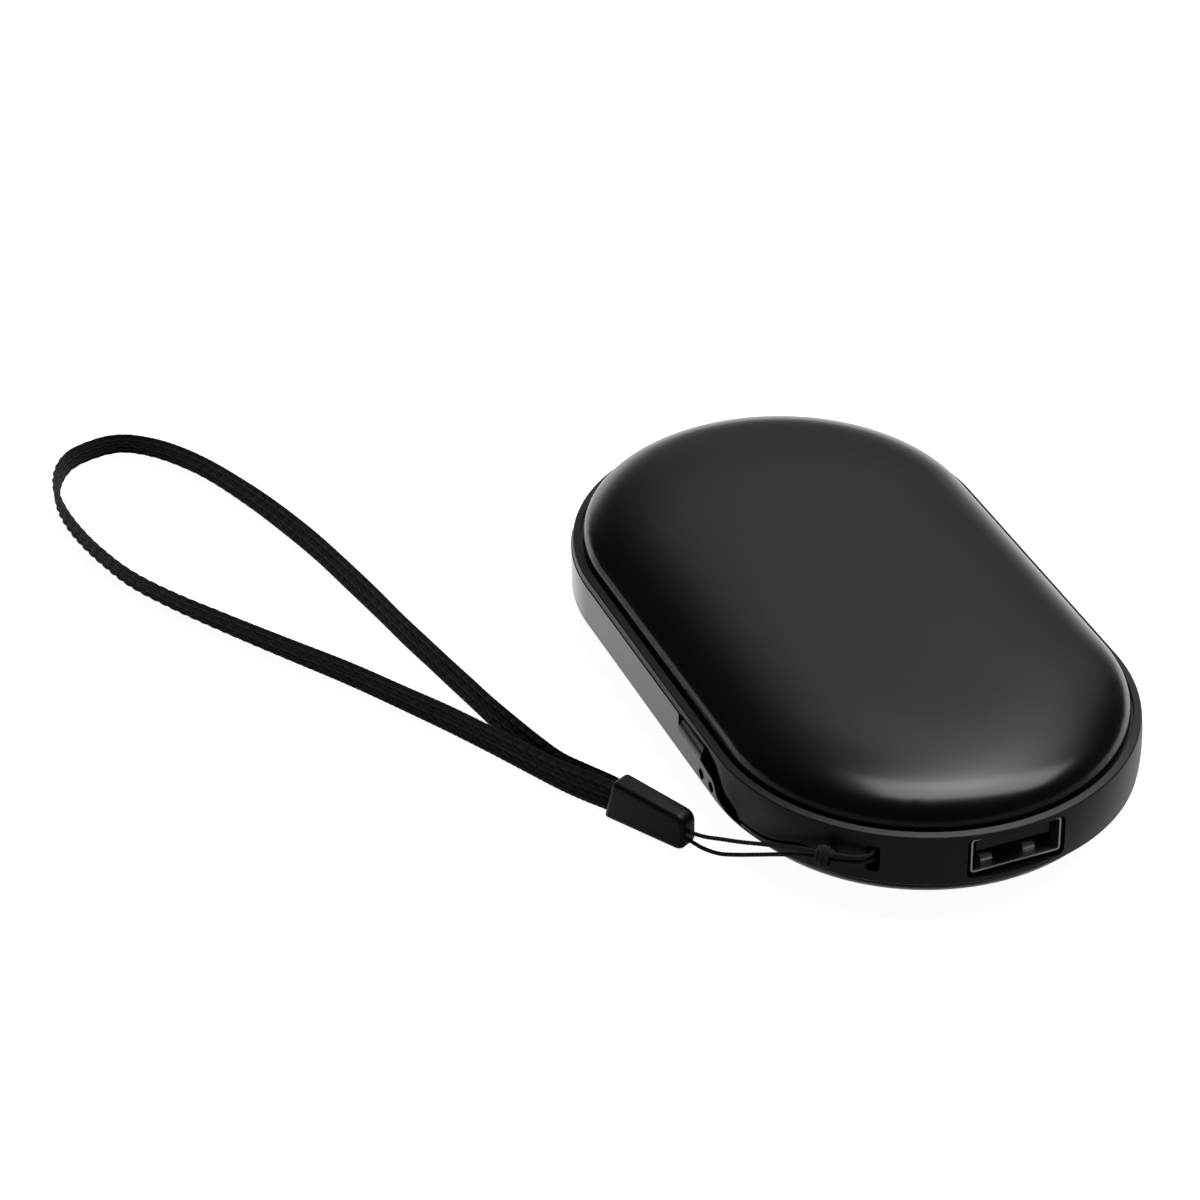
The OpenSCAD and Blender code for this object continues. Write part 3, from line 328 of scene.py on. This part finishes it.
def strap_toggle():
    bpy.ops.mesh.primitive_cube_add(size=1, location=(0, 0, 0))
    piece = bpy.context.active_object
    piece.name = "strap_toggle_moulding"
    shape = edit(piece)
    for v in shape.verts:
        far, upper = v.co.x > 0, v.co.z > 0
        v.co.x = (toggle_long if far else toggle_slant if upper else 0) * MM
        v.co.y *= (toggle_narrow if far else toggle_wide) * MM
        v.co.z *= (toggle_low if far else toggle_high) * MM
    for e in shape.edges:
        a, b = e.verts
        level_across = abs(a.co.z - b.co.z) < 1e-6 and abs(a.co.x - b.co.x) < 1e-6
        e.select = level_across and a.co.x > 3 * MM
    bmesh.update_edit_mesh(piece.data)
    bpy.ops.mesh.bevel(offset=toggle_corner * MM, segments=8, profile=0.5, affect="EDGES")
    shape = bmesh.from_edit_mesh(piece.data)
    for f in shape.faces:
        f.select = f.normal.x < -0.9
    shape.select_flush_mode()
    bpy.ops.mesh.inset(thickness=toggle_wall * MM, depth=0)
    bpy.ops.mesh.extrude_region_move(TRANSFORM_OT_translate={"value": (toggle_pocket * MM, 0, 0)})
    done()
    bevel = piece.modifiers.new("soft_edges", "BEVEL")
    bevel.width = toggle_soft * MM
    bevel.segments = 6
    bevel.limit_method = "ANGLE"
    bevel.angle_limit = math.radians(40)
    bpy.ops.object.modifier_apply(modifier=bevel.name)
    middle = toggle_start + Vector((0, 0, toggle_high / 2))
    piece.data.transform(Matrix.Translation(middle * MM) @ Matrix.Rotation(toggle_heading, 4, "Z"))
    bpy.ops.object.shade_smooth_by_angle(angle=math.radians(35))
    return piece


toggle = strap_toggle()
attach(toggle, "root")
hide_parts("strap_toggle")


# Mouldings and shells: merged copies of the solids with even shading across their curves.
# The frames meet at the joint level, on a wall that keeps its reach from the body's spine
wall_reach, spine_half, joint_level = 30.25, 22.5, 9.9


def close_hairline(shape):
    """Brings the outer edges of the frames flush along their level joint."""
    for v in shape.verts:
        past = max(0.0, abs(v.co.y) - spine_half * MM)
        reach = math.hypot(v.co.x, past)
        if abs(v.co.z - joint_level * MM) < 0.005 * MM and reach > (wall_reach - 0.1) * MM:
            grow = wall_reach * MM / reach
            v.co.x *= grow
            if past:
                v.co.y = math.copysign(spine_half * MM + past * grow, v.co.y)


def smooth_copy(source, name, body, angle):
    piece = bpy.data.objects.new(name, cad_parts[source].data.copy())
    bpy.context.scene.collection.objects.link(piece)
    edit(piece)
    bpy.ops.mesh.select_all(action="SELECT")
    bpy.ops.mesh.remove_doubles(threshold=0.002 * MM)
    close_hairline(bmesh.from_edit_mesh(piece.data))
    done()
    if piece.data.has_custom_normals:
        bpy.ops.mesh.customdata_custom_splitnormals_clear()
    bpy.ops.object.shade_smooth_by_angle(angle=math.radians(angle))
    even = piece.modifiers.new("even_shading", "WEIGHTED_NORMAL")
    even.keep_sharp = True
    bpy.ops.object.modifier_apply(modifier=even.name)
    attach(piece, body)
    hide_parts(source)
    return piece


shell_angle, moulding_angle = 40, 25
shell_over = smooth_copy("top_shell", "drawn_top_shell", "root",
                         shell_angle)
shell_under = smooth_copy("bottom_shell", "drawn_bottom_shell", "root",
                          shell_angle)
frame_over = smooth_copy("upper_frame", "moulded_upper_frame", "root",
                         moulding_angle)
frame_under = smooth_copy("lower_frame", "moulded_lower_frame", "root",
                          moulding_angle)
panel = smooth_copy("side_panel", "moulded_side_panel", "root",
                    moulding_angle)
button = smooth_copy("power_button", "moulded_power_button", "button",
                     moulding_angle)


# Finishes
def node(tree, kind, **values):
    made = tree.nodes.new(kind)
    for key, value in values.items():
        if key in made.inputs:
            made.inputs[key].default_value = value
        else:
            setattr(made, key, value)
    return made


def surface(name, colour, other, roughness, rough_spread, grain, depth, metallic=0.0, edge=0.0,
            shine=0.5, stretch=(1, 1, 1)):
    """Finish with two close tones, a fine grain in bump and roughness, and softened edges."""
    material = bpy.data.materials.new(name)
    material.use_nodes = True
    tree = material.node_tree
    shader = tree.nodes["Principled BSDF"]
    place = node(tree, "ShaderNodeTexCoord")
    scale = node(tree, "ShaderNodeMapping")
    scale.inputs["Scale"].default_value = stretch
    tree.links.new(place.outputs["Object"], scale.inputs["Vector"])
    broad = node(tree, "ShaderNodeTexNoise", Scale=60.0, Detail=4.0, Roughness=0.6)
    fine = node(tree, "ShaderNodeTexNoise", Scale=1000.0 / grain, Detail=3.0, Roughness=0.55)
    for noise in (broad, fine):
        tree.links.new(scale.outputs["Vector"], noise.inputs["Vector"])
    tones = node(tree, "ShaderNodeMix", data_type="RGBA")
    tones.inputs[6].default_value = (*colour, 1)
    tones.inputs[7].default_value = (*other, 1)
    tree.links.new(broad.outputs["Fac"], tones.inputs[0])
    tree.links.new(tones.outputs[2], shader.inputs["Base Color"])
    rough = node(tree, "ShaderNodeMapRange")
    rough.inputs["To Min"].default_value = max(0.02, roughness - rough_spread)
    rough.inputs["To Max"].default_value = roughness + rough_spread
    tree.links.new(broad.outputs["Fac"], rough.inputs["Value"])
    tree.links.new(rough.outputs["Result"], shader.inputs["Roughness"])
    bump = node(tree, "ShaderNodeBump", Strength=1.0, Distance=depth * MM)
    tree.links.new(fine.outputs["Fac"], bump.inputs["Height"])
    if edge:
        soft = node(tree, "ShaderNodeBevel", samples=6, Radius=edge * MM)
        tree.links.new(soft.outputs["Normal"], bump.inputs["Normal"])
    tree.links.new(bump.outputs["Normal"], shader.inputs["Normal"])
    shader.inputs["Metallic"].default_value = metallic
    shader.inputs["Specular IOR Level"].default_value = shine
    return material


def woven(name, colour, other, pitch):
    """Yarn finish that follows the piece's own UV map, in millimetres along and across."""
    material = bpy.data.materials.new(name)
    material.use_nodes = True
    tree = material.node_tree
    shader = tree.nodes["Principled BSDF"]
    place = node(tree, "ShaderNodeTexCoord")
    threads = node(tree, "ShaderNodeTexWave", Scale=1.0 / pitch, Distortion=1.2, Detail=2.0)
    threads.bands_direction = "DIAGONAL"
    fuzz = node(tree, "ShaderNodeTexNoise", Scale=2.5, Detail=5.0, Roughness=0.7)
    for part in (threads, fuzz):
        tree.links.new(place.outputs["UV"], part.inputs["Vector"])
    blend = node(tree, "ShaderNodeMix", data_type="RGBA")
    blend.inputs[6].default_value = (*colour, 1)
    blend.inputs[7].default_value = (*other, 1)
    tree.links.new(fuzz.outputs["Fac"], blend.inputs[0])
    tree.links.new(blend.outputs[2], shader.inputs["Base Color"])
    bump = node(tree, "ShaderNodeBump", Strength=0.8, Distance=0.03 * MM)
    tree.links.new(threads.outputs["Fac"], bump.inputs["Height"])
    tree.links.new(bump.outputs["Normal"], shader.inputs["Normal"])
    shader.inputs["Roughness"].default_value = 0.75
    shader.inputs["Sheen Weight"].default_value = 0.08
    shader.inputs["Sheen Roughness"].default_value = 0.5
    return material


satin_paint = surface("satin_black_paint", (0.004, 0.004, 0.0042), (0.005, 0.005, 0.0052), 0.22,
                      0.02, grain=0.25, depth=0.0012)
frame_plastic = surface("black_frame_plastic", (0.007, 0.007, 0.0073), (0.0095, 0.0095, 0.010),
                        0.42, 0.03, grain=0.3, depth=0.004)
gloss_panel = surface("gloss_black_plastic", (0.010, 0.010, 0.010), (0.013, 0.013, 0.013), 0.2,
                      0.04, grain=0.6, depth=0.003, edge=0.1)
toggle_plastic = surface("toggle_black_plastic", (0.003, 0.003, 0.0032), (0.0045, 0.0045, 0.0047),
                         0.4, 0.03, grain=0.35, depth=0.008, shine=0.28)
socket_black = surface("socket_black_plastic", (0.008, 0.008, 0.008), (0.013, 0.013, 0.013), 0.4,
                       0.05, grain=0.3, depth=0.003)
socket_steel = surface("plated_socket_steel", (0.78, 0.78, 0.79), (0.88, 0.88, 0.89), 0.36, 0.07,
                       metallic=1.0, grain=0.3, depth=0.003, edge=0.06, stretch=(1, 0.15, 1))
contact_gold = surface("gold_plate", (0.78, 0.56, 0.22), (0.85, 0.65, 0.3), 0.22, 0.05,
                       metallic=1.0, grain=0.3, depth=0.002)
screw_steel = surface("zinc_plate", (0.45, 0.45, 0.46), (0.55, 0.55, 0.57), 0.32, 0.07,
                      metallic=1.0, grain=0.3, depth=0.003, edge=0.05)
smoked_guide = surface("smoked_light_guide", (0.006, 0.006, 0.007), (0.01, 0.01, 0.011), 0.1, 0.03,
                       grain=0.4, depth=0.001)
board_mask = surface("green_solder_mask", (0.01, 0.09, 0.035), (0.016, 0.13, 0.05), 0.35, 0.08,
                     grain=0.9, depth=0.01)
chip_resin = surface("chip_resin", (0.02, 0.02, 0.021), (0.03, 0.03, 0.031), 0.55, 0.06,
                     grain=0.15, depth=0.006)
ferrite = surface("pressed_ferrite", (0.05, 0.05, 0.053), (0.08, 0.08, 0.083), 0.6, 0.08,
                  grain=0.2, depth=0.02)
ceramic = surface("tinned_ceramic", (0.35, 0.24, 0.13), (0.46, 0.34, 0.2), 0.45, 0.08, grain=0.3,
                  depth=0.004)
lamp_lens = surface("lamp_lens", (0.75, 0.75, 0.62), (0.85, 0.84, 0.7), 0.2, 0.05, grain=0.3,
                    depth=0.002)
white_plastic = surface("white_plunger_plastic", (0.6, 0.6, 0.57), (0.68, 0.68, 0.65), 0.4, 0.05,
                        grain=0.3, depth=0.004)
cell_foil = surface("cell_foil", (0.5, 0.51, 0.53), (0.62, 0.63, 0.65), 0.33, 0.08, metallic=0.9,
                    grain=2.5, depth=0.02)
amber_tape = surface("amber_tape", (0.42, 0.22, 0.03), (0.55, 0.3, 0.05), 0.25, 0.06, grain=1.5,
                     depth=0.01)
heater_film = surface("heater_film", (0.4, 0.16, 0.02), (0.52, 0.22, 0.03), 0.28, 0.06, grain=1.5,
                      depth=0.01)
red_lead = surface("red_silicone", (0.35, 0.015, 0.012), (0.45, 0.02, 0.017), 0.45, 0.05,
                   grain=0.4, depth=0.004)
white_lead = surface("white_silicone", (0.6, 0.6, 0.57), (0.7, 0.7, 0.67), 0.45, 0.05, grain=0.4,
                     depth=0.004)
pad_foam = surface("grey_foam", (0.05, 0.05, 0.055), (0.11, 0.11, 0.12), 0.9, 0.05, grain=0.35,
                   depth=0.12)
cord_yarn = woven("black_cord_yarn", (0.003, 0.003, 0.0033), (0.010, 0.010, 0.0105), 0.25)
strap_yarn = woven("black_strap_yarn", (0.0025, 0.0025, 0.0027), (0.010, 0.010, 0.0105), 0.3)

finishes = {
    "button_switch": socket_black, "switch_plunger": white_plastic,
    "light_guides": smoked_guide, "status_leds": lamp_lens, "usb_a_shell": socket_steel,
    "usb_a_tongue": socket_black, "usb_a_contacts": contact_gold,
    "charging_port_shell": socket_steel, "charging_port_tongue": socket_black,
    "circuit_board": board_mask, "controller_chips": chip_resin, "power_inductor": ferrite,
    "capacitors": ceramic, "battery_cell": cell_foil, "cell_protection_board": amber_tape,
    "battery_leads": red_lead, "top_heater": heater_film, "bottom_heater": heater_film,
    "top_heater_leads": white_lead, "bottom_heater_leads": white_lead, "thermistor": chip_resin,
    "top_foam_pad": pad_foam, "bottom_foam_pad": pad_foam, "frame_screws": screw_steel,
    "board_screws": screw_steel, "lanyard_pin": screw_steel,
}
for name, finish in finishes.items():
    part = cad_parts[name]
    part.data.materials.clear()
    part.data.materials.append(finish)
for part, finish in ((shell_over, satin_paint), (shell_under, satin_paint),
                     (frame_over, frame_plastic), (frame_under, frame_plastic),
                     (panel, gloss_panel), (button, gloss_panel),
                     (lanyard, cord_yarn), (hitch, cord_yarn), (strap, strap_yarn),
                     (toggle, toggle_plastic)):
    part.data.materials.clear()
    part.data.materials.append(finish)


# Surround: dark, with a row of soft glows that runs from overhead to the far side and widens
# there. Each glow has its tilt from overhead towards the far side and its turn to the right, in
# degrees, and its strength
surround_glows = (
    (20, 10, 3.3), (30, 10, 0.4), (30, 20, 0.85), (40, 10, 1), (50, 0, 0.33), (50, 10, 0.27),
    (60, 20, 0.39), (70, 0, 0.27), (90, -20, 1.8), (90, 20, 0.87), (100, -10, 0.78), (110, 20, 1),
)
glow_sharpness = 60
base_glow = 0.02

# Floor: its tone in plain light and a darker tone that only reflections see, which is painted
# shade, its own light as the camera sees it and at most in reflections, where it is painted
# reflection light, and the turn of the reflected ray and the place ahead between which that light
# fades in, painting shade into those reflections
floor_tone, floor_tone_painted_shade_in_reflections = 0.8, 0.3
floor_shown, floor_glow = 0.96, 1.12
fade_turn, fade_place = (-0.4, 0.7), (-0.055, 0.03)

# Soft box overhead: its sides across and along, its place ahead, to the right and above, in
# metres, and its power in watts
box_sides, box_place, box_power = (0.6, 0.264), (0.03, 0.21, 0.6), 2.25


def place_floor():
    bpy.ops.object.select_all(action="DESELECT")
    bpy.ops.mesh.primitive_plane_add(size=4, location=(0, 0.4, 0))
    floor = bpy.context.active_object
    floor.name = "studio_floor"
    material = bpy.data.materials.new("pale_floor")
    material.use_nodes = True
    tree = material.node_tree
    shader = tree.nodes["Principled BSDF"]
    shader.inputs["Roughness"].default_value = 0.9
    shader.inputs["Specular IOR Level"].default_value = 0.0
    path = node(tree, "ShaderNodeLightPath")
    # Painted shade: reflected rays see the floor in a darker tone than plain light does
    tones = node(tree, "ShaderNodeMix", data_type="RGBA")
    tones.inputs[6].default_value = (*[floor_tone] * 3, 1)
    tones.inputs[7].default_value = (*[floor_tone_painted_shade_in_reflections] * 3, 1)
    tree.links.new(path.outputs["Is Glossy Ray"], tones.inputs[0])
    tree.links.new(tones.outputs[2], shader.inputs["Base Color"])
    shown = node(tree, "ShaderNodeMath", operation="MULTIPLY")
    shown.inputs[1].default_value = floor_shown
    # Painted reflection light: the floor glows for reflected rays as well as for the camera's own
    # rays
    mirrored = node(tree, "ShaderNodeMath", operation="MULTIPLY_ADD")
    tree.links.new(path.outputs["Is Camera Ray"], shown.inputs[0])
    tree.links.new(path.outputs["Is Glossy Ray"], mirrored.inputs[0])
    tree.links.new(shown.outputs["Value"], mirrored.inputs[2])
    shader.inputs["Emission Color"].default_value = (1, 1, 1, 1)
    tree.links.new(mirrored.outputs["Value"], shader.inputs["Emission Strength"])
    floor.data.materials.append(material)

    # Painted shade in the reflected glow: it fades out for rays that travel back towards the
    # camera's side and drops to half on the camera's side of the body
    ray = node(tree, "ShaderNodeNewGeometry")
    turned = fade_along(tree, ray.outputs["Incoming"], -ahead_level, fade_turn)
    placed = fade_along(tree, ray.outputs["Position"], ahead_level, fade_place)
    placed.inputs["To Min"].default_value = floor_glow / 2
    placed.inputs["To Max"].default_value = floor_glow
    tree.links.new(placed.outputs["Result"], turned.inputs["To Max"])
    tree.links.new(turned.outputs["Result"], mirrored.inputs[1])


def fade_along(tree, source, way, limits):
    """Smooth rise from one limit to the other of how far the source reaches that way."""
    reach = node(tree, "ShaderNodeVectorMath", operation="DOT_PRODUCT")
    reach.inputs[1].default_value = way
    tree.links.new(source, reach.inputs[0])
    fade = node(tree, "ShaderNodeMapRange", interpolation_type="SMOOTHSTEP")
    fade.inputs["From Min"].default_value, fade.inputs["From Max"].default_value = limits
    tree.links.new(reach.outputs["Value"], fade.inputs["Value"])
    return fade


def hang_soft_box():
    box = bpy.data.lights.new("overhead_soft_box", "AREA")
    box.shape = "RECTANGLE"
    box.size, box.size_y = box_sides
    box.energy = box_power
    lamp = bpy.data.objects.new("overhead_soft_box", box)
    bpy.context.scene.collection.objects.link(lamp)
    ahead, aside, above = box_place
    lamp.location = ahead_level * ahead + right_level * aside + Vector((0, 0, above))
    lamp.rotation_euler = (0, 0, -math.atan2(ahead_level.x, ahead_level.y))


def light_surround():
    world = bpy.data.worlds.new("studio_surround")
    bpy.context.scene.world = world
    world.use_nodes = True
    tree = world.node_tree
    place = node(tree, "ShaderNodeTexCoord")
    total = None
    for pitch, turn, strength in surround_glows:
        tilt, aside = math.radians(pitch), math.radians(turn)
        toward = ahead_level * math.sin(tilt) + Vector((0, 0, math.cos(tilt)))
        facing = node(tree, "ShaderNodeVectorMath", operation="DOT_PRODUCT")
        facing.inputs[1].default_value = (toward * math.cos(aside)
                                          + right_level * math.sin(aside))
        tree.links.new(place.outputs["Generated"], facing.inputs[0])
        away = node(tree, "ShaderNodeMath", operation="MULTIPLY_ADD")
        away.inputs[1].default_value = glow_sharpness
        away.inputs[2].default_value = -glow_sharpness
        tree.links.new(facing.outputs["Value"], away.inputs[0])
        glow = node(tree, "ShaderNodeMath", operation="EXPONENT")
        tree.links.new(away.outputs["Value"], glow.inputs[0])
        added = node(tree, "ShaderNodeMath", operation="MULTIPLY_ADD")
        added.inputs[1].default_value = strength
        added.inputs[2].default_value = base_glow
        tree.links.new(glow.outputs["Value"], added.inputs[0])
        if total:
            tree.links.new(total.outputs["Value"], added.inputs[2])
        total = added
    back = tree.nodes["Background"]
    back.inputs["Color"].default_value = (1, 1, 1, 1)
    tree.links.new(total.outputs["Value"], back.inputs["Strength"])


place_floor()
hang_soft_box()
light_surround()
bpy.context.scene.view_settings.view_transform = "Standard"
